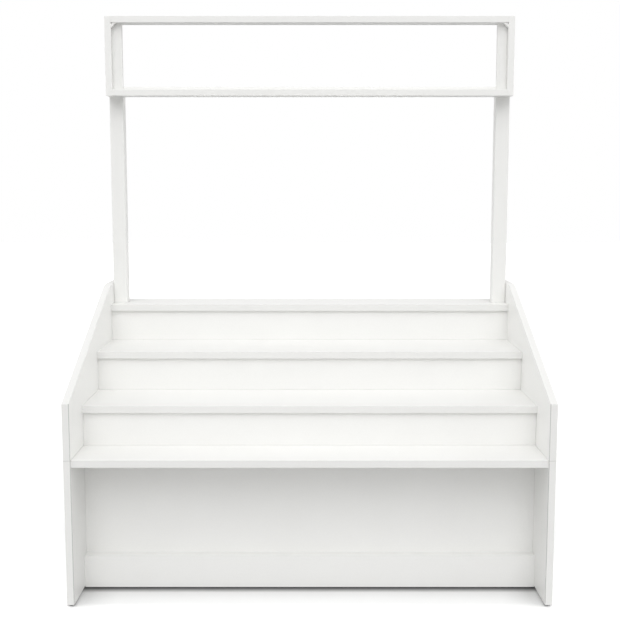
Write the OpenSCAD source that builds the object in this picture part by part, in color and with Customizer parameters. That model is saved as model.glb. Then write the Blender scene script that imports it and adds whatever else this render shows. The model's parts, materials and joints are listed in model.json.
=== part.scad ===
// Stepped confectionery display unit with an open box header on two posts.
// The front faces -Y and +Z is up. The origin is on the floor, under the middle of the unit.
// A depth is a distance behind the front edge of the side panels, in millimetres like every size.

/* [Unit] */
// Width over the side panels
unit_w = 1200; // [900:10:1600]
// Depth of the side panels
unit_d = 710; // [630:5:900]
// Thickness of the boards
board_t = 18; // [16:0.5:20]
// Height of the glides under the side panels
glide_h = 4; // [3:0.5:8]

/* [Side panels] */
// Height of the upright front edge above the bottom shelf
upright_h = 141; // [60:1:200]
// Height of the side panels' flat tops above the top shelf
side_over_shelf = 60; // [40:1:100]
// Depth at which the sloped edge meets the flat top
slope_run = 558; // [480:1:600]
// Radius of the shoulder between slope and top
shoulder_r = 150; // [50:5:300]

/* [Shelves] */
// Height of the bottom shelf's top above the floor
bottom_shelf_h = 370; // [330:5:420]
// Rise from the bottom shelf to the second
second_rise = 105; // [100:1:125]
// Rise from the second shelf to the third
third_rise = 107; // [100:1:125]
// Rise from the third shelf to the top one
top_rise = 105; // [100:1:125]
// Depth of the bottom shelf's nose
nose_setback = 5; // [0:1:20]
// Going from the bottom shelf's nose to the second's, before spare depth is shared out
second_going = 137; // [110:1:180]
// Going from the second shelf's nose to the third's, before spare depth is shared out
third_going = 200; // [160:1:240]
// Going from the third shelf's nose to the top one's, before spare depth is shared out
top_going = 212; // [160:1:250]
// Depth of the top shelf
top_shelf_d = 156; // [150:1:200]
// Overhang of each nose past the riser under it
nose_overhang = 10; // [4:1:14]

/* [Kickboard and rails] */
// Height of the kickboard's top above the floor
kick_top = 85; // [75:1:110]
// Gap between the kickboard and the floor
kick_gap = 1; // [1:0.5:10]
// Thickness of the packer between the kickboard and the lower front panel
packer_t = 10; // [6:1:16]
// Height of the packer
packer_h = 40; // [30:1:60]
// Height of the rear rails
rail_h = 80; // [70:1:100]

/* [Posts] */
// Width and depth of the square tube
post_w = 40; // [30:1:42]
// Wall of the tube
post_wall = 2; // [1.5:0.5:3]
// Outer corner radius of the tube
post_r = 3; // [2:0.5:4]
// Depth from the top shelf's nose to the front of the posts
post_back = 52; // [46:1:56]
// Clearance round a post in the top shelf
post_clear = 0.5; // [0.3:0.1:1]
// Thickness of the flange of the plastic caps in the posts
cap_flange_t = 3; // [2:0.5:4]
// Length of the caps' plugs
cap_plug_l = 12; // [8:1:20]
// Clearance of the plugs in the tube
cap_clear = 0.2; // [0.1:0.05:0.4]

/* [Header] */
// Clear height between the top shelf and the header
clear_h = 601; // [450:1:800]
// Height of the header
header_h = 222; // [180:2:300]
// Depth of the header's boards
header_d = 50; // [46:1:70]
// Depth of the sign groove behind the header's front
groove_back = 13; // [12:1:16]
// Width of the sign groove
groove_w = 4.5; // [2.5:0.5:6]
// Depth of the sign groove into the side boards
groove_depth = 2; // [1.5:0.5:5]
// Width of the upright stiles behind the sign groove
stile_w = 28; // [20:1:38]
// Thickness of the stiles
stile_t = 12; // [9:1:18]
// Height and depth of the triangular bead between the stiles
bead_leg = 9.5; // [8:0.5:14]
// Leg of the triangular corner blocks
corner_leg = 14; // [10:1:20]
// Leg of the snipped corner of the blocks, which clears the joint of the boards
corner_snip = 4; // [2:0.5:6]
// Depth of the corner blocks behind the header's front
corner_setback = 2; // [1:0.5:4]
// Length of the posts' tabs short of the header's top
tab_short = 15; // [5:1:25]
// Distance from the header's front and rear edges to its corner dowels
header_dowel_inset = 10; // [8:1:13]

/* [Cams and dowels] */
// Diameter of a cam lock
cam_d = 15; // [14:0.5:15]
// Height of a cam lock
cam_h = 12.5; // [12:0.1:12.8]
// Distance from a board's end to the centre of its cams
cam_edge = 34; // [30:1:38]
// Diameter of a cam bolt's stem
cam_bolt_d = 7; // [6.5:0.1:7]
// Diameter of a cam bolt's thread
cam_thread_d = 5; // [4.5:0.1:5.5]
// Length of a cam bolt's thread
cam_thread_l = 11; // [9:0.5:11]
// Length of a cam bolt's head past the middle of its cam
cam_head_l = 2.5; // [2:0.1:3.5]
// Clearance round a cam bolt's stem, on the diameter
cam_bore_clear = 1; // [0.4:0.1:1]
// Diameter of a dowel
dowel_d = 8; // [6:0.5:8]
// Length of a dowel in the edge of one board
dowel_edge_l = 20; // [16:1:24]
// Length of a dowel in the face of the other board
dowel_face_l = 10; // [8:0.5:12]
// Diameter of a dowel in the header's corners
header_dowel_d = 6; // [5:0.5:6]
// Clearance round cams, dowels and threads, on the diameter
fit = 0.2; // [0.1:0.05:0.3]
// Distance from a board's edge to its first fixing
fix_inset = 45; // [40:1:50]
// Distance from the top shelf's nose to its first dowels, and from the posts to its cams
top_fix_inset = 24; // [20:1:26]
// Distance from the edge of a riser or rail to its cams
narrow_cam_inset = 30; // [26:1:34]
// Distance from the other edge of a riser or rail to its dowels
narrow_dowel_inset = 22; // [14:1:26]
// Distance from the side panels to the outer dowels in the risers' edges
dowel_row_inset = 180; // [120:5:300]

/* [Bolts and screws] */
// Diameter of the post bolts
post_bolt_d = 6; // [5:1:6]
// Length of the post bolts in the side panels
post_bolt_in = 12; // [10:0.5:12.5]
// Diameter of the post bolts' heads
post_head_d = 12; // [10:0.5:14]
// Height of the post bolts' heads
post_head_h = 3.5; // [3:0.1:5]
// Width over the corners of the hexagon recess in the post bolts
hex_d = 4.5; // [3:0.5:5]
// Height of the lower post bolts above the bottom shelf
post_bolt_up = 60; // [50:1:120]
// Distance of the upper post bolts below the top shelf
post_bolt_down = 39; // [30:1:60]
// Outer diameter of the washers
washer_d = 16; // [14:0.5:20]
// Thickness of the washers
washer_t = 1.6; // [1:0.1:2]
// Outer diameter of the insert nuts
insert_d = 10; // [9:0.5:12]
// Length of the insert nuts
insert_l = 13; // [12.5:0.1:13.5]
// Diameter of the wood screws
screw_d = 4; // [3.5:0.1:4.5]
// Diameter of the wood screws' heads
screw_head_d = 8; // [7.5:0.1:9]
// Height of the header screws' heads
screw_head_h = 2.4; // [2:0.1:3]
// Depth of the crosshead recesses
recess_t = 1.5; // [1:0.1:1.8]
// Length of the header screws in the header
header_screw_l = 28; // [20:1:32]
// Length of the kickboard screws in the kickboard
kick_screw_in = 12; // [10:0.5:13]
// Number of kickboard screws
kick_screw_count = 4; // [3:1:6]
// Distance from the side panels to the outer kickboard screws
kick_screw_inset = 100; // [60:5:200]
// Diameter of a glide
glide_d = 14; // [12:0.5:16]
// Distance from a side panel's end to the centre of its first glide
glide_inset = 14; // [10:1:60]
// Diameter of a glide's nail
nail_d = 2.2; // [2:0.1:2.6]
// Length of a glide's nail in the side panel
nail_l = 12; // [10:1:18]
// Diameter of the head of a glide's nail
nail_head_d = 6.6; // [5:0.2:8]
// Thickness of the head of a glide's nail
nail_head_h = 1; // [0.8:0.1:1.4]

/* [Hidden] */
$fn = 64;
// Length by which a cut passes a face
past = 1;
board_white = [0.95, 0.95, 0.94];
steel_white = [0.92, 0.92, 0.91];
zinc = [0.75, 0.76, 0.78];
wood = [0.80, 0.66, 0.45];
plastic_white = [0.90, 0.90, 0.89];
plastic_dark = [0.20, 0.20, 0.21];

// Widths and heights
inner_x = unit_w / 2 - board_t;
outer_x = unit_w / 2;
second_shelf_h = bottom_shelf_h + second_rise;
third_shelf_h = second_shelf_h + third_rise;
top_shelf_h = third_shelf_h + top_rise;
side_front_h = bottom_shelf_h + upright_h;
side_top_h = top_shelf_h + side_over_shelf;

// Depth that the three goings leave over between the bottom nose and the top shelf, which they share
spare_depth = unit_d - top_shelf_d - nose_setback - second_going - third_going - top_going;

// Depths of the noses and of the risers' front faces
second_nose = nose_setback + second_going + spare_depth / 3;
third_nose = second_nose + third_going + spare_depth / 3;
top_nose = unit_d - top_shelf_d;
lower_riser_front = second_nose + nose_overhang;
middle_riser_front = third_nose + nose_overhang;
upper_riser_front = top_nose + nose_overhang;
lower_riser_back = lower_riser_front + board_t;
middle_riser_back = middle_riser_front + board_t;
upper_riser_back = upper_riser_front + board_t;
kick_front = lower_riser_front - packer_t - board_t;
rail_front = unit_d - board_t;

// Posts and header
post_front = top_nose + post_back;
post_rear = post_front + post_w;
post_mid = post_front + post_w / 2;
header_bottom = top_shelf_h + clear_h;
header_top = header_bottom + header_h;
header_front = post_front - header_d;
header_inner_x = inner_x - board_t;
stile_inner_x = header_inner_x - stile_w;
groove_rear = groove_back + groove_w;
tab_top = header_top - tab_short;
post_bolt_heights = [bottom_shelf_h + post_bolt_up, top_shelf_h - board_t - post_bolt_down];
header_screw_heights = [for (i = [1 : 3]) header_bottom + i * header_h / 4];
header_dowel_depths = [header_front + header_dowel_inset, post_front - header_dowel_inset];

// Y of a depth
function y_at(depth) = depth - unit_d / 2;
// A point from its side, its distance from the middle, its depth and its height
function at(s, x, depth, height) = [s * x, y_at(depth), height];
// A direction square to a given axis direction
function square_to(way) = way.z == 0 ? [0, 0, 1] : [0, 1, 0];
function side_word(s) = s < 0 ? "left" : "right";
function lower_side(s) = str(side_word(s), "_lower_side_panel");
function upper_side(s) = str(side_word(s), "_upper_side_panel");

// Depths of the fixings at a board's ends. Those of the seam stand between those of the bottom shelf.
function mid(a, b) = (a + b) / 2;
bottom_shelf_cams = [lower_riser_back + fix_inset, mid(lower_riser_back, unit_d), unit_d - fix_inset];
bottom_shelf_dowels = [
    nose_setback + fix_inset,
    lower_riser_front - fix_inset,
    mid(bottom_shelf_cams[0], bottom_shelf_cams[1]),
    mid(bottom_shelf_cams[1], bottom_shelf_cams[2]),
];
seam_cams = [
    mid(bottom_shelf_cams[0], bottom_shelf_dowels[2]),
    mid(bottom_shelf_cams[1], bottom_shelf_dowels[3]),
];
seam_dowels = [
    mid(bottom_shelf_dowels[0], bottom_shelf_dowels[1]),
    mid(bottom_shelf_dowels[2], bottom_shelf_cams[1]),
    mid(bottom_shelf_dowels[3], bottom_shelf_cams[2]),
];
top_shelf_cam = post_rear + top_fix_inset;
top_shelf_dowels = [top_nose + top_fix_inset, unit_d - board_t];
dowel_row_x = inner_x - dowel_row_inset;

// Stepped shelves: name, depth of the nose, depth of the rear edge, height of the top
stepped_shelves = [
    ["second_shelf", second_nose, middle_riser_back, second_shelf_h],
    ["third_shelf", third_nose, upper_riser_back, third_shelf_h],
];
// Risers: name, shelf below, shelf above, depth of the front, height of the foot, height of the top
risers = [
    ["lower_riser", "bottom_shelf", "second_shelf",
        lower_riser_front, bottom_shelf_h, second_shelf_h - board_t],
    ["middle_riser", "second_shelf", "third_shelf",
        middle_riser_front, second_shelf_h, third_shelf_h - board_t],
    ["upper_riser", "third_shelf", "top_shelf",
        upper_riser_front, third_shelf_h, top_shelf_h - board_t],
];
// Rear rails: name, whether it joins the upper side panels, height of the foot
rails = [
    ["rear_top_rail", true, top_shelf_h - board_t - rail_h],
    ["rear_middle_rail", false, bottom_shelf_h - board_t - rail_h],
    ["rear_bottom_rail", false, glide_h],
];

// A cam joint: board with the cam, board with the bolt, middle of the cam's mouth, way out of the mouth,
// way to the other board
cam_joints = [
    for (s = [-1, 1]) each [
        for (d = bottom_shelf_cams)
            ["bottom_shelf", lower_side(s), at(s, inner_x - cam_edge, d, bottom_shelf_h - board_t),
                [0, 0, -1], [s, 0, 0]],
        for (b = stepped_shelves, d = [b[1] + fix_inset, b[2] - fix_inset])
            [b[0], upper_side(s), at(s, inner_x - cam_edge, d, b[3] - board_t), [0, 0, -1], [s, 0, 0]],
        ["top_shelf", upper_side(s), at(s, inner_x - cam_edge, top_shelf_cam, top_shelf_h - board_t),
            [0, 0, -1], [s, 0, 0]],
        for (b = risers)
            [b[0], upper_side(s), at(s, inner_x - cam_edge, b[3] + board_t, b[4] + narrow_cam_inset),
                [0, 1, 0], [s, 0, 0]],
        for (h = [kick_gap + fix_inset, bottom_shelf_h - board_t - fix_inset])
            ["lower_front_panel", lower_side(s), at(s, inner_x - cam_edge, lower_riser_back, h),
                [0, 1, 0], [s, 0, 0]],
        for (b = rails)
            [b[0], b[1] ? upper_side(s) : lower_side(s),
                at(s, inner_x - cam_edge, rail_front, b[2] + rail_h - narrow_cam_inset),
                [0, -1, 0], [s, 0, 0]],
        for (d = seam_cams)
            [upper_side(s), lower_side(s), at(s, inner_x, d, bottom_shelf_h + cam_edge),
                [-s, 0, 0], [0, 0, -1]],
    ]
];

// A dowel joint: board with the hole in its edge, board with the hole in its face, middle of the dowel on
// the plane where they meet, way into the face
dowel_joints = [
    for (s = [-1, 1]) each [
        for (d = bottom_shelf_dowels)
            ["bottom_shelf", lower_side(s), at(s, inner_x, d, bottom_shelf_h - board_t / 2), [s, 0, 0]],
        for (b = stepped_shelves)
            [b[0], upper_side(s), at(s, inner_x, mid(b[1], b[2]), b[3] - board_t / 2), [s, 0, 0]],
        for (d = top_shelf_dowels)
            ["top_shelf", upper_side(s), at(s, inner_x, d, top_shelf_h - board_t / 2), [s, 0, 0]],
        for (b = risers)
            [b[0], upper_side(s), at(s, inner_x, b[3] + board_t / 2, b[5] - narrow_dowel_inset), [s, 0, 0]],
        ["lower_front_panel", lower_side(s),
            at(s, inner_x, lower_riser_front + board_t / 2, mid(kick_gap, bottom_shelf_h - board_t)),
            [s, 0, 0]],
        ["kickboard", lower_side(s),
            at(s, inner_x, kick_front + board_t / 2, mid(kick_gap, kick_top)), [s, 0, 0]],
        for (b = rails)
            [b[0], b[1] ? upper_side(s) : lower_side(s),
                at(s, inner_x, rail_front + board_t / 2, b[2] + narrow_dowel_inset), [s, 0, 0]],
        for (d = seam_dowels)
            [upper_side(s), lower_side(s), at(s, inner_x + board_t / 2, d, bottom_shelf_h), [0, 0, -1]],
    ],
    for (b = risers, x = [-dowel_row_x, 0, dowel_row_x])
        [b[0], b[1], at(1, x, b[3] + board_t / 2, b[4]), [0, 0, -1]],
    for (b = risers, x = [-dowel_row_x, dowel_row_x] / 2)
        [b[0], b[2], at(1, x, b[3] + board_t / 2, b[5]), [0, 0, 1]],
    for (x = [-dowel_row_x, dowel_row_x] / 2)
        ["lower_front_panel", "bottom_shelf",
            at(1, x, lower_riser_front + board_t / 2, bottom_shelf_h - board_t), [0, 0, 1]],
];

// Corner dowels of the header: board with the hole in its end, side, middle of the dowel on the joint
header_joints = [
    for (s = [-1, 1], d = header_dowel_depths) each [
        ["header_bottom_board", s, at(s, header_inner_x, d, header_bottom + board_t / 2)],
        ["header_top_board", s, at(s, header_inner_x, d, header_top - board_t / 2)],
    ]
];

kick_screw_x = [
    for (i = [0 : kick_screw_count - 1])
        (inner_x - kick_screw_inset) * (2 * i / (kick_screw_count - 1) - 1)
];
kick_screw_h = kick_top - packer_h / 2;
kick_screw_l = board_t + packer_t + kick_screw_in;
glide_places = [
    for (s = [-1, 1], d = [glide_inset, unit_d / 2, unit_d - glide_inset])
        at(s, inner_x + board_t / 2, d, 0)
];

// Turns the X axis to one way and the Z axis to another, square to it, at a place
module place(origin, out, toward) {
    across = cross(out, toward);
    multmatrix([
        [toward.x, across.x, out.x, origin.x],
        [toward.y, across.y, out.y, origin.y],
        [toward.z, across.z, out.z, origin.z],
        [0, 0, 0, 1],
    ]) children();
}

// A rod along X from one distance to another
module rod(d, from, to) {
    translate([from, 0, 0]) rotate([0, 90, 0]) cylinder(d = d, h = to - from);
}

// A crosshead recess, cut down from a head's top at Z 0
module crosshead(width) {
    slot_w = width / 5;
    for (turn = [0, 90])
        rotate([0, 0, turn])
            translate([-width / 2, -slot_w / 2, -recess_t]) cube([width, slot_w, recess_t + past]);
}

// The pocket of a cam and the bore of its bolt, in the board that holds the cam
module cam_pocket() {
    translate([0, 0, -cam_h - fit]) cylinder(d = cam_d + fit, h = cam_h + fit + past);
    translate([0, 0, -board_t / 2]) rod(cam_bolt_d + cam_bore_clear, 0, cam_edge + past);
}

// The hole of a cam bolt's thread, in the other board
module cam_thread_hole() {
    translate([0, 0, -board_t / 2]) rod(cam_thread_d + fit, cam_edge - past, cam_edge + cam_thread_l + fit);
}

// The holes of every cam and dowel joint in one board
module joint_holes(name) {
    for (j = cam_joints) {
        if (j[0] == name) place(j[2], j[3], j[4]) cam_pocket();
        if (j[1] == name) place(j[2], j[3], j[4]) cam_thread_hole();
    }
    for (j = dowel_joints) {
        if (j[0] == name)
            place(j[2], square_to(j[3]), j[3]) rod(dowel_d + fit, -dowel_edge_l - fit, past);
        if (j[1] == name)
            place(j[2], square_to(j[3]), j[3]) rod(dowel_d + fit, -past, dowel_face_l + fit);
    }
}

// A board between two corners given as X, depth and height, with its joint holes and any further cuts
module board(name, low, high) {
    difference() {
        translate([low.x, y_at(low.y), low.z]) cube(high - low);
        joint_holes(name);
        children();
    }
}

// A plate in the plane of depth and height, as thick as a board, on one side of the unit
module side_plate(s) {
    translate([s < 0 ? -outer_x : inner_x, y_at(0), 0])
        rotate([90, 0, 90]) linear_extrude(board_t) children();
}

module lower_side_panel(s) {
    difference() {
        side_plate(s)
            translate([0, glide_h]) square([unit_d, bottom_shelf_h - glide_h]);
        joint_holes(lower_side(s));
        for (p = glide_places)
            translate(p) cylinder(d = nail_d + fit, h = glide_h + nail_l + fit);
    }
}

// The outline of an upper side panel, with its shoulder rounded between slope and top
module upper_side_outline() {
    slope = atan2(side_top_h - side_front_h, slope_run);
    tangent = shoulder_r * tan(slope / 2);
    corner = [slope_run, side_top_h];
    slope_end = corner - tangent * [cos(slope), sin(slope)];
    top_end = corner + [tangent, 0];
    difference() {
        polygon([
            [0, bottom_shelf_h],
            [0, side_front_h],
            corner,
            [unit_d, side_top_h],
            [unit_d, bottom_shelf_h],
        ]);
        difference() {
            polygon([slope_end, corner + [0, past], corner + [tangent, past], top_end]);
            translate(top_end - [0, shoulder_r]) circle(r = shoulder_r, $fn = 180);
        }
    }
}

module upper_side_panel(s) {
    difference() {
        side_plate(s) upper_side_outline();
        joint_holes(upper_side(s));
        for (h = post_bolt_heights)
            place(at(s, inner_x, post_mid, h), [0, 0, 1], [s, 0, 0])
                rod(insert_d + fit, -past, insert_l + 2 * fit);
    }
}

// A shelf between the side panels, from its nose to its rear edge, under the height of its top
module shelf(name, nose, rear, top) {
    color(board_white)
        board(name, [-inner_x, nose, top - board_t], [inner_x, rear, top]) children();
}

module bottom_shelf() {
    shelf("bottom_shelf", nose_setback, unit_d, bottom_shelf_h);
}

module stepped_shelf(i) {
    b = stepped_shelves[i];
    shelf(b[0], b[1], b[2], b[3]);
}

module top_shelf() {
    notch = post_w + 2 * post_clear;
    shelf("top_shelf", top_nose, unit_d, top_shelf_h)
        for (s = [-1, 1])
            translate([s < 0 ? -inner_x - past : inner_x - post_w - post_clear,
                y_at(post_front - post_clear), top_shelf_h - board_t - past])
                cube([post_w + post_clear + past, notch, board_t + 2 * past]);
}

// An upright board between the side panels, from its front face back by one thickness
module upright(name, front, foot, top) {
    color(board_white)
        board(name, [-inner_x, front, foot], [inner_x, front + board_t, top]) children();
}

module riser(i) {
    b = risers[i];
    upright(b[0], b[3], b[4], b[5]);
}

module rail(i) {
    b = rails[i];
    upright(b[0], rail_front, b[2], b[2] + rail_h);
}

// Runs along each kickboard screw, with X forward from the rear face of the lower front panel
module along_kick_screws() {
    for (x = kick_screw_x)
        place([x, y_at(lower_riser_back), kick_screw_h], [0, 0, 1], [0, -1, 0]) children();
}

// The shape of a countersunk screw along X, larger all round by a clearance
module countersunk(length, clear) {
    rod(screw_d + clear, 0, length + clear);
    rotate([0, 90, 0])
        cylinder(d1 = screw_head_d + clear, d2 = screw_d + clear, h = (screw_head_d - screw_d) / 2);
}

module lower_front_panel() {
    upright("lower_front_panel", lower_riser_front, kick_gap, bottom_shelf_h - board_t)
        along_kick_screws() {
            countersunk(kick_screw_l, fit);
            rod(screw_head_d + fit, -past, 0);
        }
}

module kickboard() {
    upright("kickboard", kick_front, kick_gap, kick_top)
        along_kick_screws() countersunk(kick_screw_l, fit);
}

module kickboard_packer() {
    color(board_white)
        board("kickboard_packer",
            [-inner_x, lower_riser_front - packer_t, kick_top - packer_h],
            [inner_x, lower_riser_front, kick_top])
            along_kick_screws() countersunk(kick_screw_l, fit);
}

module kickboard_screws() {
    color(zinc)
        along_kick_screws() difference() {
            countersunk(kick_screw_l, 0);
            rotate([0, -90, 0]) crosshead(screw_head_d / 2);
        }
}

// A square with round corners, centred
module rounded_square(size, r) {
    square([size, size - 2 * r], center = true);
    square([size - 2 * r, size], center = true);
    for (x = [-1, 1], y = [-1, 1])
        translate([x, y] * (size / 2 - r)) circle(r = r);
}

// Where the axis of a post stands
module at_post(s) {
    translate([s * (inner_x - post_w / 2), y_at(post_mid), 0]) children();
}

module post(s) {
    foot = bottom_shelf_h + cap_flange_t;
    bore = post_w - 2 * post_wall;
    color(steel_white) difference() {
        at_post(s) translate([0, 0, foot]) linear_extrude(tab_top - foot) rounded_square(post_w, post_r);
        at_post(s) translate([-bore / 2, -bore / 2, foot - past])
            cube([bore, bore, tab_top - foot + 2 * past]);
        at_post(s) translate([-post_w, -bore / 2, header_bottom])
            cube([2 * post_w, post_w, header_h]);
        for (h = post_bolt_heights)
            place(at(s, inner_x, post_mid, h), [0, 0, 1], [s, 0, 0])
                rod(post_bolt_d + 2 * fit, -post_w - past, past);
        for (h = header_screw_heights)
            place(at(s, inner_x - board_t / 2, post_front, h), [0, 0, 1], [0, -1, 0])
                rod(screw_d + 2 * fit, -post_wall - past, past);
    }
}

module post_bottom_caps() {
    plug = post_w - 2 * post_wall - 2 * cap_clear;
    color(plastic_dark) for (s = [-1, 1]) at_post(s) translate([0, 0, bottom_shelf_h]) {
        linear_extrude(cap_flange_t) rounded_square(post_w, post_r);
        translate([-plug / 2, -plug / 2, 0]) cube([plug, plug, cap_flange_t + cap_plug_l]);
    }
}

module post_top_caps() {
    plug = post_w - 2 * post_wall - 2 * cap_clear;
    flange_y = -post_w / 2 + post_wall + cap_clear;
    color(plastic_white) for (s = [-1, 1]) at_post(s) translate([0, 0, header_bottom]) {
        translate([-post_w / 2, flange_y, 0]) cube([post_w, post_w / 2 - flange_y, cap_flange_t]);
        translate([-plug / 2, -plug / 2, -cap_plug_l]) cube([plug, plug, cap_plug_l + cap_flange_t]);
    }
}

// Runs along each post bolt, with X outward from the inner face of the side panel
module along_post_bolts() {
    for (s = [-1, 1], h = post_bolt_heights)
        place(at(s, inner_x, post_mid, h), [0, 0, 1], [s, 0, 0]) children();
}

module post_bolts() {
    head = -post_w - washer_t;
    color(zinc) along_post_bolts() difference() {
        union() {
            rod(post_bolt_d, head, post_bolt_in);
            rod(post_head_d, head - post_head_h, head);
        }
        translate([head - post_head_h - past, 0, 0]) rotate([0, 90, 0])
            cylinder(d = hex_d, h = post_head_h / 2 + past, $fn = 6);
    }
}

module post_washers() {
    color(zinc) along_post_bolts() difference() {
        rod(washer_d, -post_w - washer_t, -post_w);
        rod(post_bolt_d + 2 * fit, -post_w - washer_t - past, -post_w + past);
    }
}

module insert_nuts() {
    color(zinc) along_post_bolts() difference() {
        rod(insert_d, fit, fit + insert_l);
        rod(post_bolt_d + fit, -past, insert_l + past);
    }
}

// A board of the header, with its dowel holes and any further cuts
module header_board(name, low, high) {
    color(board_white) difference() {
        translate([low.x, y_at(low.y), low.z]) cube(high - low);
        for (j = header_joints)
            if (j[0] == name) place(j[2], [0, 0, 1], [j[1], 0, 0])
                rod(header_dowel_d + fit, -dowel_edge_l - fit, past);
        children();
    }
}

module header_top_board() {
    header_board("header_top_board",
        [-header_inner_x, header_front, header_top - board_t],
        [header_inner_x, post_front, header_top]);
}

module header_bottom_board() {
    header_board("header_bottom_board",
        [-header_inner_x, header_front, header_bottom],
        [header_inner_x, post_front, header_bottom + board_t]);
}

module header_side_board(s) {
    header_board("header_side_board",
        [s < 0 ? -inner_x : header_inner_x, header_front, header_bottom],
        [s < 0 ? -header_inner_x : inner_x, post_front, header_top]) {
        for (j = header_joints)
            if (j[1] == s)
                place(j[2], [0, 0, 1], [s, 0, 0]) rod(header_dowel_d + fit, -past, dowel_face_l + fit);
        for (h = header_screw_heights)
            place(at(s, inner_x - board_t / 2, post_front, h), [0, 0, 1], [0, -1, 0])
                rod(screw_d + fit, -past, header_screw_l + fit);
        translate([s * header_inner_x - groove_depth, y_at(header_front + groove_back),
            header_bottom + board_t])
            cube([2 * groove_depth, groove_w, header_h - 2 * board_t]);
    }
}

// The strips that a sign's ends rest against
module header_stiles() {
    color(board_white) for (x = [-header_inner_x, stile_inner_x])
        translate([x, y_at(header_front + groove_rear), header_bottom + board_t])
            cube([stile_w, stile_t, header_h - 2 * board_t]);
}

module header_bead() {
    color(board_white)
        translate([-stile_inner_x, y_at(header_front + groove_rear), header_bottom + board_t])
            rotate([90, 0, 90]) linear_extrude(2 * stile_inner_x)
                polygon([[0, 0], [bead_leg, 0], [bead_leg, bead_leg]]);
}

module header_corner_blocks() {
    color(board_white) for (s = [-1, 1])
        translate([s * header_inner_x, y_at(header_front + groove_back), header_top - board_t])
            rotate([90, 0, 0]) linear_extrude(groove_back - corner_setback)
                polygon([[-s * corner_snip, 0], [-s * corner_leg, 0], [0, -corner_leg], [0, -corner_snip]]);
}

module header_dowels() {
    color(wood) for (j = header_joints)
        place(j[2], [0, 0, 1], [j[1], 0, 0]) rod(header_dowel_d, -dowel_edge_l, dowel_face_l);
}

module header_screws() {
    color(zinc) for (s = [-1, 1], h = header_screw_heights)
        place(at(s, inner_x - board_t / 2, post_front + post_wall, h), [0, 0, 1], [0, -1, 0]) difference() {
            union() {
                rod(screw_d, 0, post_wall + header_screw_l);
                rod(screw_head_d, -screw_head_h, 0);
            }
            translate([-screw_head_h, 0, 0]) rotate([0, -90, 0]) crosshead(screw_head_d / 2);
        }
}

module cam_locks() {
    slot = cam_bolt_d + 2 * fit;
    color(zinc) for (j = cam_joints) place(j[2], j[3], j[4]) difference() {
        translate([0, 0, -cam_h]) cylinder(d = cam_d, h = cam_h);
        translate([-cam_d / 4, -slot / 2, -cam_h - past])
            cube([cam_d, slot, cam_h + past - board_t / 2 + slot / 2]);
        crosshead(cam_d / 2);
    }
}

module cam_bolts() {
    neck_end = cam_d / 2 + fit;
    color(zinc) for (j = cam_joints) place(j[2], j[3], j[4]) translate([0, 0, -board_t / 2]) {
        rod(cam_bolt_d, -cam_head_l, 0);
        rod(cam_thread_d, 0, neck_end);
        rod(cam_bolt_d, neck_end, cam_edge);
        rod(cam_thread_d, cam_edge, cam_edge + cam_thread_l);
    }
}

module board_dowels() {
    color(wood) for (j = dowel_joints)
        place(j[2], square_to(j[3]), j[3]) rod(dowel_d, -dowel_edge_l, dowel_face_l);
}

module glides() {
    color(plastic_dark) for (p = glide_places) translate(p) difference() {
        cylinder(d = glide_d, h = glide_h);
        translate([0, 0, -past]) cylinder(d = nail_d + fit, h = glide_h + 2 * past);
        translate([0, 0, -past]) cylinder(d = nail_head_d + fit, h = past + glide_h / 2);
    }
}

module glide_nails() {
    color(zinc) for (p = glide_places) translate(p) {
        translate([0, 0, glide_h / 2 - nail_head_h]) cylinder(d = nail_head_d, h = nail_head_h);
        translate([0, 0, glide_h / 2]) cylinder(d = nail_d, h = glide_h / 2 + nail_l);
    }
}

color(board_white) lower_side_panel(-1);  // left_lower_side_panel
color(board_white) lower_side_panel(1);  // right_lower_side_panel
color(board_white) upper_side_panel(-1);  // left_upper_side_panel
color(board_white) upper_side_panel(1);  // right_upper_side_panel
bottom_shelf();
stepped_shelf(0);  // second_shelf
stepped_shelf(1);  // third_shelf
top_shelf();
lower_front_panel();
riser(0);  // lower_riser
riser(1);  // middle_riser
riser(2);  // upper_riser
kickboard();
kickboard_packer();
rail(0);  // rear_top_rail
rail(1);  // rear_middle_rail
rail(2);  // rear_bottom_rail
post(-1);  // left_post
post(1);  // right_post
post_bottom_caps();
post_top_caps();
header_top_board();
header_bottom_board();
header_side_board(-1);  // header_left_board
header_side_board(1);  // header_right_board
header_stiles();
header_bead();
header_corner_blocks();
header_dowels();
header_screws();
cam_locks();
cam_bolts();
board_dowels();
post_bolts();
post_washers();
insert_nuts();
kickboard_screws();
glides();
glide_nails();
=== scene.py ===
"""Finishes, edges, light, floor and camera for the stepped confectionery display unit.

Everything is in metres in the part's frame: the front faces -Y, +Z is up and the origin is on the floor.
"""

import json
import math

import bpy
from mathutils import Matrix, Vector


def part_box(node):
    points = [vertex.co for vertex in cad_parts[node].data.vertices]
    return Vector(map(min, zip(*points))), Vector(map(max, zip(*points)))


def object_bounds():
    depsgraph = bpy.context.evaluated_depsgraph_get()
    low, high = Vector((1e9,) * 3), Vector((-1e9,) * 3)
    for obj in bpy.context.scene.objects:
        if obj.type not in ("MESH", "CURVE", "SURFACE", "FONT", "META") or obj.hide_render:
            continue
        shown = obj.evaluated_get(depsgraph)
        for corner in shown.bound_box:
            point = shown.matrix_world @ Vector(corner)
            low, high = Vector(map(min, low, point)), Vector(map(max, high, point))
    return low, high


MM = 0.001

# The photograph's frame, and the lens and stand of its camera
IMAGE_SIDE = 620
FOCAL_PIXELS = 1028.75
CENTRE_X_PIXELS = 309.66
SENSOR = 36.0
CAMERA_BEFORE_FRONT = 2.4357
CAMERA_HEIGHT = 1.0433
CAMERA_PITCH = math.radians(7.089)
CAMERA_SEES_TO = 100

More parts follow.
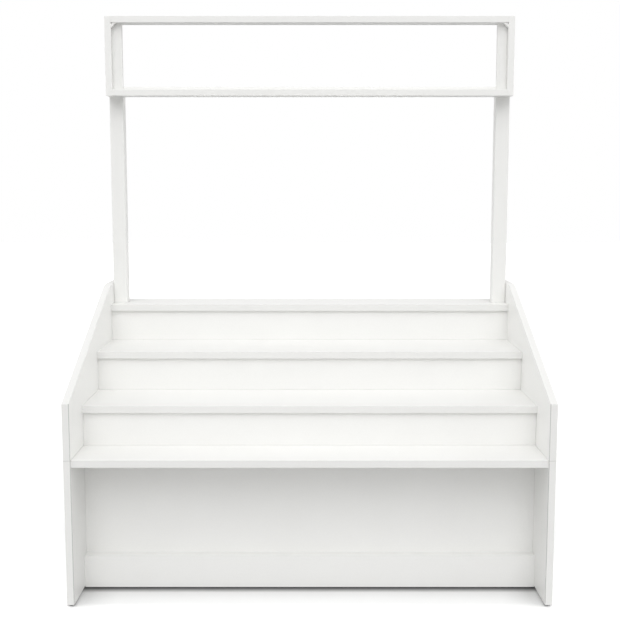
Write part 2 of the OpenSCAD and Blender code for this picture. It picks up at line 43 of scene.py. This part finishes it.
# The sky's lobes: where each is brightest, how narrow it is and how bright, where 1 shows as white
SKY = (
    ((0, -0.82, 0.57), 12, 2.55),
    ((0, -0.57, 0.82), 12, 2.35),
    ((1, 0, 0), 3, 1.5),
    ((-1, 0, 0), 3, 1.5),
    ((1, 0, 1), 8, 1.1),
    ((-1, 0, 1), 8, 1.1),
)
WHITE = (1, 1, 1, 1)

# The floor's size, its tone for stray light at the unit's front and rear, and its tone as seen within the
# unit's outline, set lower there as painted shade, and outside it
FLOOR_SIDE = 30.0
FLOOR_BOUNCE_FRONT = 0.60
FLOOR_BOUNCE_REAR = 0.20
FLOOR_LOOK = 0.93
FLOOR_LOOK_OPEN = 1.15

# The painted shade on the recess's floor: its reach and strength, and how far in from the outline it begins
# to fade
RECESS_REACH = 100 * MM
RECESS_POWER = 0.5
RECESS_MARGIN = 24 * MM

# The deeper painted shade at the kickboard's foot, and its darkest tone
KICK_REACH = 40 * MM
KICK_POWER = 5.0
KICK_DARKEST = 0.12

# The rays that each point of the floor sends out to find both painted shades
SHADE_SAMPLES = 16

# The rounding of board edges, of crisp arrises and of thin walls
BOARD_EDGE = 0.8 * MM
SHARP_EDGE = 0.25 * MM
THIN_EDGE = 0.3 * MM
EDGE_SEGMENTS = 3

# The turn from which an edge is rounded, the turn up to which faces are joined, and the weld before that
ROUNDED_FROM = math.radians(40)
JOINED_TO = math.radians(1)
WELD_REACH = 0.01 * MM

# The weight of large faces in the shading of the rounded edges beside them
FACE_WEIGHT = 100

# The tone of the edging of shelves and side panels against their faces, darker partly as the edging's own
# tone and partly as painted shade, and the part of a surface's normal across the board below which it is
# edging
EDGING_SHADE = 0.92
EDGING_TURN = 0.7
EDGING_TURN_BLUR = 0.1

# A dark line of painted shade along the side panels' inner front arris, and the raw edges in the panels'
# seam
ARRIS_SHADE_WIDTH = 1.4 * MM
ARRIS_SHADE_DEPTH = 2 * MM
ARRIS_SHADE_TONE = 0.62
SEAM_LINE = 0.8 * MM
SEAM_TONE = 0.8
LINE_BLUR = 0.1 * MM

# The middle of a noise's range, where most of its values lie
NOISE_LOW = 0.3
NOISE_HIGH = 0.7

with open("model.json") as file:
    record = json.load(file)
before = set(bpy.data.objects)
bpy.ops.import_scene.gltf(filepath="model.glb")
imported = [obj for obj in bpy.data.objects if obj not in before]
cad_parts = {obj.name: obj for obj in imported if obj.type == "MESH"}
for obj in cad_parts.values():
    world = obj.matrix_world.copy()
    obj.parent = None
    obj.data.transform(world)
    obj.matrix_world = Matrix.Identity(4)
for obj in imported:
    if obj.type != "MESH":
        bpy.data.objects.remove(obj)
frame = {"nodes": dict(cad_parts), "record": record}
cad_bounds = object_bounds()
side_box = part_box("left_lower_side_panel")
BOARD = side_box[1].x - side_box[0].x
SEAM_HEIGHT = side_box[1].z


def add_node(tree, kind, links=None, **settings):
    """Adds a shader node, sets its properties and links or sets its inputs by name or number."""
    made = tree.nodes.new(kind)
    for name, value in settings.items():
        setattr(made, name, value)
    for name, value in (links or {}).items():
        socket = made.inputs[name]
        if isinstance(value, bpy.types.NodeSocket):
            tree.links.new(value, socket)
        else:
            socket.default_value = value
    return made


def math_node(tree, operation, first, second=0.0):
    """One sum on two values."""
    return add_node(tree, "ShaderNodeMath", {0: first, 1: second}, operation=operation).outputs[0]


def ramp(tree, value, start, end, first=0.0, last=1.0, shape="LINEAR"):
    """Goes from first at start to last at end, and stays there beyond them."""
    made = add_node(
        tree,
        "ShaderNodeMapRange",
        {"Value": value, "From Min": start, "From Max": end, "To Min": first, "To Max": last},
        interpolation_type=shape,
    )
    return made.outputs["Result"]


def below(tree, value, edge, blur=LINE_BLUR):
    """1 where a value is below an edge and 0 above it."""
    return ramp(tree, value, edge - blur, edge + blur, first=1.0, last=0.0)


def spread(tree, value, low, high):
    """Maps the middle of a noise's range to low and high."""
    return ramp(tree, value, NOISE_LOW, NOISE_HIGH, low, high)


def noise(tree, coordinates, cell, detail=2.0, roughness=0.5, stretch=(1, 1, 1)):
    """Noise whose cells are about cell metres wide, drawn out along an axis by a stretch above 1."""
    scaled = add_node(
        tree,
        "ShaderNodeMapping",
        {"Vector": coordinates, "Scale": [1 / (cell * factor) for factor in stretch]},
    )
    made = add_node(
        tree,
        "ShaderNodeTexNoise",
        {"Vector": scaled.outputs["Vector"], "Scale": 1.0, "Detail": detail, "Roughness": roughness},
    )
    return made.outputs["Fac"]


def tint(tree, value, dark, light):
    """A colour that a noise moves between dark and light."""
    made = add_node(tree, "ShaderNodeMix", data_type="RGBA")
    tree.links.new(spread(tree, value, 0, 1), made.inputs["Factor"])
    made.inputs["A"].default_value = (*dark, 1)
    made.inputs["B"].default_value = (*light, 1)
    return made.outputs["Result"]


def bump(tree, height, strength, depth, under=None):
    """A bump normal from a height in the range 0 to 1, over the bump under it."""
    made = add_node(tree, "ShaderNodeBump", {"Height": height, "Strength": strength, "Distance": depth})
    if under is not None:
        tree.links.new(under, made.inputs["Normal"])
    return made.outputs["Normal"]


def new_material(name, constants):
    """A material and its tree, with constants set on the shader's own sockets."""
    material = bpy.data.materials.new(name)
    material.use_nodes = True
    tree = material.node_tree
    shader = tree.nodes["Principled BSDF"]
    for socket, value in constants.items():
        shader.inputs[socket].default_value = value
    return material, tree


def own_coordinates(tree):
    """A point's place in the part's frame, because every object here sits at the origin."""
    return add_node(tree, "ShaderNodeTexCoord").outputs["Object"]


def link_surface(tree, colour, roughness, normal):
    """Links what varies over a surface to its shader."""
    shader = tree.nodes["Principled BSDF"]
    tree.links.new(colour, shader.inputs["Base Color"])
    tree.links.new(roughness, shader.inputs["Roughness"])
    tree.links.new(normal, shader.inputs["Normal"])


def joint_lines_and_arris_shade(tree, at):
    """The tone of a side panel's fine dark lines: painted shade along its front edge's inner arris, and its
    seam.
    """
    place = add_node(tree, "ShaderNodeSeparateXYZ", {0: at}).outputs
    aside = math_node(tree, "ABSOLUTE", place["X"])
    on_arris = below(tree, aside, cad_bounds[1].x - BOARD + ARRIS_SHADE_WIDTH)
    in_front = below(tree, place["Y"], cad_bounds[0].y + ARRIS_SHADE_DEPTH)
    # A strip of painted shade along the front edge's inner arris
    edging = math_node(tree, "MULTIPLY", on_arris, in_front)
    from_seam = math_node(tree, "ABSOLUTE", math_node(tree, "SUBTRACT", place["Z"], SEAM_HEIGHT))
    seam = below(tree, from_seam, SEAM_LINE)
    arris_shade_tone = ramp(tree, edging, 0, 1, first=1.0, last=ARRIS_SHADE_TONE)
    seam_tone = ramp(tree, seam, 0, 1, first=1.0, last=SEAM_TONE)
    return math_node(tree, "MULTIPLY", arris_shade_tone, seam_tone)


def edging_shade(tree, across):
    """The tone of a board's edges, which face at right angles to the axis across the board: partly the
    edging's own tone, partly painted shade.
    """
    normal = add_node(tree, "ShaderNodeTexCoord").outputs["Normal"]
    towards = add_node(tree, "ShaderNodeSeparateXYZ", {0: normal}).outputs[across]
    on_edge = below(tree, math_node(tree, "ABSOLUTE", towards), EDGING_TURN, EDGING_TURN_BLUR)
    return ramp(tree, on_edge, 0, 1, first=1.0, last=EDGING_SHADE)


def white_board(name="white_board", across=None, seamed_and_arris_shaded=False, sheen=0.5):
    """Melamine-faced board: a fine pearl texture over very slight waves, with a satin sheen."""
    material, tree = new_material(name, {"IOR": 1.5, "Specular IOR Level": sheen})
    at = own_coordinates(tree)
    mottle = noise(tree, at, cell=4 * MM, detail=4)
    cloud = noise(tree, at, cell=180 * MM)
    pearl = noise(tree, at, cell=1.1 * MM, detail=3, roughness=0.6)
    mean = math_node(tree, "MULTIPLY", math_node(tree, "ADD", mottle, cloud), 0.5)
    colour = tint(tree, mean, dark=(0.835, 0.834, 0.818), light=(0.862, 0.861, 0.845))
    # The edges' darker tone is partly painted shade
    shades = [edging_shade(tree, across)] if across else []
    # Painted shade along the side panels' inner front arris, and their dark seam
    if seamed_and_arris_shaded:
        shades.append(joint_lines_and_arris_shade(tree, at))
    for shade in shades:
        scaled = add_node(tree, "ShaderNodeVectorMath", {0: colour, "Scale": shade}, operation="SCALE")
        colour = scaled.outputs["Vector"]
    wave = bump(tree, cloud, strength=0.25, depth=0.4 * MM)
    normal = bump(tree, pearl, strength=0.35, depth=0.05 * MM, under=wave)
    link_surface(tree, colour, spread(tree, pearl, low=0.36, high=0.46), normal)
    return material


def painted_wood():
    """Painted softwood: brush marks along the length and a faint grain under the paint."""
    material, tree = new_material("painted_wood", {"IOR": 1.5})
    at = own_coordinates(tree)
    brush = noise(tree, at, cell=0.6 * MM, detail=3, stretch=(60, 1, 1))
    grain = noise(tree, at, cell=3 * MM, detail=4, stretch=(40, 1, 1))
    colour = tint(tree, grain, dark=(0.83, 0.829, 0.81), light=(0.86, 0.859, 0.842))
    rough = bump(tree, grain, strength=0.3, depth=0.08 * MM)
    normal = bump(tree, brush, strength=0.3, depth=0.04 * MM, under=rough)
    link_surface(tree, colour, spread(tree, brush, low=0.34, high=0.50), normal)
    return material


def powder_coat():
    """Powder coat: the orange peel of a baked finish."""
    material, tree = new_material("powder_coat", {"IOR": 1.5})
    at = own_coordinates(tree)
    peel = noise(tree, at, cell=2.2 * MM, detail=1.5)
    fleck = noise(tree, at, cell=0.5 * MM)
    colour = tint(tree, fleck, dark=(0.82, 0.82, 0.803), light=(0.85, 0.85, 0.833))
    normal = bump(tree, peel, strength=0.35, depth=0.12 * MM)
    link_surface(tree, colour, spread(tree, peel, low=0.36, high=0.46), normal)
    return material


def zinc():
    """Bright zinc plate with a faint cloud and fine scratches."""
    material, tree = new_material("zinc", {"Metallic": 1.0})
    at = own_coordinates(tree)
    cloud = noise(tree, at, cell=3 * MM, detail=3)
    scratch = noise(tree, at, cell=0.2 * MM, stretch=(20, 1, 1))
    colour = tint(tree, cloud, dark=(0.56, 0.57, 0.60), light=(0.74, 0.75, 0.76))
    normal = bump(tree, scratch, strength=0.25, depth=0.02 * MM)
    link_surface(tree, colour, spread(tree, cloud, low=0.26, high=0.42), normal)
    return material


def beech():
    """Bare beech with short dark flecks along the dowel."""
    material, tree = new_material("beech", {})
    grain = noise(tree, own_coordinates(tree), cell=0.9 * MM, detail=4, stretch=(14, 1, 1))
    colour = tint(tree, grain, dark=(0.50, 0.33, 0.18), light=(0.72, 0.54, 0.34))
    normal = bump(tree, grain, strength=0.4, depth=0.1 * MM)
    link_surface(tree, colour, spread(tree, grain, low=0.72, high=0.58), normal)
    return material


def plastic(name, dark, light):
    """Moulded plastic with a fine spark-eroded texture."""
    material, tree = new_material(name, {"IOR": 1.49})
    texture = noise(tree, own_coordinates(tree), cell=0.5 * MM)
    colour = tint(tree, texture, dark, light)
    normal = bump(tree, texture, strength=0.4, depth=0.05 * MM)
    link_surface(tree, colour, spread(tree, texture, low=0.42, high=0.58), normal)
    return material


# The finish of each of the record's material slots, and the rounding of the edges of those that have one
FINISHES = {
    "white_board": white_board(),
    "painted_wood": painted_wood(),
    "powder_coated_steel": powder_coat(),
    "zinc_plated_steel": zinc(),
    "dowel_wood": beech(),
    "white_plastic": plastic("white_plastic", (0.78, 0.78, 0.765), (0.82, 0.82, 0.805)),
    "dark_plastic": plastic("dark_plastic", (0.018, 0.018, 0.019), (0.032, 0.032, 0.033)),
}
EDGES = {
    "white_board": BOARD_EDGE,
    "painted_wood": BOARD_EDGE,
    "powder_coated_steel": THIN_EDGE,
    "white_plastic": THIN_EDGE,
    "dark_plastic": THIN_EDGE,
}

# The nodes whose finish or rounding differs from that of their slot
SIDE_PANELS = tuple(
    f"{side}_{level}_side_panel" for side in ("left", "right") for level in ("lower", "upper")
)
SHELVES = ("bottom_shelf", "second_shelf", "third_shelf", "top_shelf")
HEADER_FLATS = ("header_top_board", "header_bottom_board")
OWN_FINISHES = {
    **dict.fromkeys(SIDE_PANELS, white_board("white_side_panel", across="X", seamed_and_arris_shaded=True)),
    **dict.fromkeys(SHELVES, white_board("white_shelf", across="Z")),
    **dict.fromkeys(HEADER_FLATS, white_board("white_header", sheen=0.1)),
}
SHARP_PIECES = SHELVES + ("kickboard", "header_stiles", "header_corner_blocks")


def round_edges(piece, width):
    """Welds a node's faces, joins the flat ones and rounds the sharp edges, with flat faces shaded flat."""
    weld = piece.modifiers.new("weld", "WELD")
    weld.merge_threshold = WELD_REACH
    join = piece.modifiers.new("join", "DECIMATE")
    join.decimate_type = "DISSOLVE"
    join.angle_limit = JOINED_TO
    bevel = piece.modifiers.new("edges", "BEVEL")
    bevel.width = width
    bevel.segments = EDGE_SEGMENTS
    bevel.limit_method = "ANGLE"
    bevel.angle_limit = ROUNDED_FROM
    bevel.use_clamp_overlap = False
    normals = piece.modifiers.new("normals", "WEIGHTED_NORMAL")
    normals.keep_sharp = True
    normals.weight = FACE_WEIGHT


def dress_nodes():
    """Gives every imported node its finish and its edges."""
    for row in frame["record"]["subparts"]:
        name, slot = row["node"], row["material_slot"]
        piece = frame["nodes"][name]
        for place in piece.material_slots:
            place.material = OWN_FINISHES.get(name, FINISHES[slot])
        if slot in EDGES:
            round_edges(piece, SHARP_EDGE if name in SHARP_PIECES else EDGES[slot])


def seen_directly(tree):
    """1 for a ray from the camera, a mirror or a glass, and 0 for a ray of stray light."""
    path = add_node(tree, "ShaderNodeLightPath").outputs
    mirror = math_node(tree, "MAXIMUM", path["Is Glossy Ray"], path["Is Transmission Ray"])
    return math_node(tree, "MAXIMUM", path["Is Camera Ray"], mirror)


def openness(tree, reach, power):
    """1 on open floor, and less where the object stands within reach, for shade painted into the floor's
    colour.
    """
    near = add_node(tree, "ShaderNodeAmbientOcclusion", {"Distance": reach}, samples=SHADE_SAMPLES)
    return math_node(tree, "POWER", near.outputs["AO"], power)


def floor_look(tree, place):
    """The floor's tone as seen, with painted shade: full around the unit, less in the toe recess and least
    at the kickboard.
    """
    aside = math_node(tree, "ABSOLUTE", place["X"])
    past_side = math_node(tree, "SUBTRACT", aside, cad_bounds[1].x - BOARD)
    before_front = math_node(tree, "SUBTRACT", cad_bounds[0].y, place["Y"])
    behind_rear = math_node(tree, "SUBTRACT", place["Y"], cad_bounds[1].y)
    outside = math_node(tree, "MAXIMUM", math_node(tree, "MAXIMUM", past_side, before_front), behind_rear)
    open_floor = ramp(tree, outside, -RECESS_MARGIN, BOARD)
    recess = math_node(tree, "MAXIMUM", openness(tree, RECESS_REACH, RECESS_POWER), open_floor)
    kick_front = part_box("kickboard")[0].y
    before_kick = ramp(
        tree, place["Y"], kick_front, kick_front - KICK_REACH, first=KICK_DARKEST, shape="SMOOTHSTEP"
    )
    foot = math_node(tree, "MAXIMUM", openness(tree, KICK_REACH, KICK_POWER), before_kick)
    foot = math_node(tree, "MAXIMUM", foot, ramp(tree, past_side, 0, BOARD))
    level = ramp(tree, open_floor, 0, 1, first=FLOOR_LOOK, last=FLOOR_LOOK_OPEN)
    return math_node(tree, "MULTIPLY", math_node(tree, "MULTIPLY", recess, foot), level)


def make_floor():
    """A white floor that keeps the object's shadow, with shade painted into its colour in the toe recess.
    """
    bpy.ops.mesh.primitive_plane_add(size=FLOOR_SIDE)
    floor = bpy.context.object
    floor.name = "floor"
    material, tree = new_material("floor", {"Roughness": 1.0, "Specular IOR Level": 0.0})
    place = add_node(tree, "ShaderNodeSeparateXYZ", {0: own_coordinates(tree)}).outputs
    bounce = ramp(
        tree, place["Y"], cad_bounds[0].y, cad_bounds[1].y, first=FLOOR_BOUNCE_FRONT, last=FLOOR_BOUNCE_REAR
    )
    tone = add_node(tree, "ShaderNodeMix", data_type="FLOAT")
    tree.links.new(seen_directly(tree), tone.inputs["Factor"])
    tree.links.new(bounce, tone.inputs["A"])
    tree.links.new(floor_look(tree, place), tone.inputs["B"])
    tree.links.new(tone.outputs["Result"], tree.nodes["Principled BSDF"].inputs["Base Color"])
    floor.data.materials.append(material)


def lobe(tree, direction, towards, narrowness, level):
    """Light that comes mostly from one direction."""
    middle = Vector(towards).normalized()
    along = add_node(tree, "ShaderNodeVectorMath", {0: direction, 1: middle}, operation="DOT_PRODUCT")
    ahead = math_node(tree, "MAXIMUM", along.outputs["Value"])
    return math_node(tree, "MULTIPLY", math_node(tree, "POWER", ahead, narrowness), level)


def make_light():
    """A studio's soft boxes as broad lobes of a sky that itself shows as white."""
    world = bpy.data.worlds.new("studio")
    bpy.context.scene.world = world
    world.use_nodes = True
    tree = world.node_tree
    tree.nodes.clear()
    direction = add_node(tree, "ShaderNodeTexCoord").outputs["Generated"]
    level = lobe(tree, direction, *SKY[0])
    for more in SKY[1:]:
        level = math_node(tree, "ADD", level, lobe(tree, direction, *more))
    around = add_node(tree, "ShaderNodeBackground", {"Color": WHITE, "Strength": level})
    white = add_node(tree, "ShaderNodeBackground", {"Color": WHITE, "Strength": 1.0})
    both = add_node(
        tree, "ShaderNodeMixShader", {0: seen_directly(tree), 1: around.outputs[0], 2: white.outputs[0]}
    )
    add_node(tree, "ShaderNodeOutputWorld", {"Surface": both.outputs[0]})


def make_camera():
    """The photograph's camera, in front of the unit's middle and looking a little down."""
    data = bpy.data.cameras.new("camera")
    data.sensor_width = SENSOR
    data.lens = FOCAL_PIXELS / IMAGE_SIDE * SENSOR
    data.shift_x = (IMAGE_SIDE / 2 - CENTRE_X_PIXELS) / IMAGE_SIDE
    data.clip_end = CAMERA_SEES_TO
    camera = bpy.data.objects.new("camera", data)
    camera.location = (0, cad_bounds[0].y - CAMERA_BEFORE_FRONT, CAMERA_HEIGHT)
    camera.rotation_euler = (math.pi / 2 - CAMERA_PITCH, 0, 0)
    bpy.context.scene.collection.objects.link(camera)
    bpy.context.scene.camera = camera


make_camera()
dress_nodes()
make_floor()
make_light()
bpy.context.scene.view_settings.view_transform = "Standard"
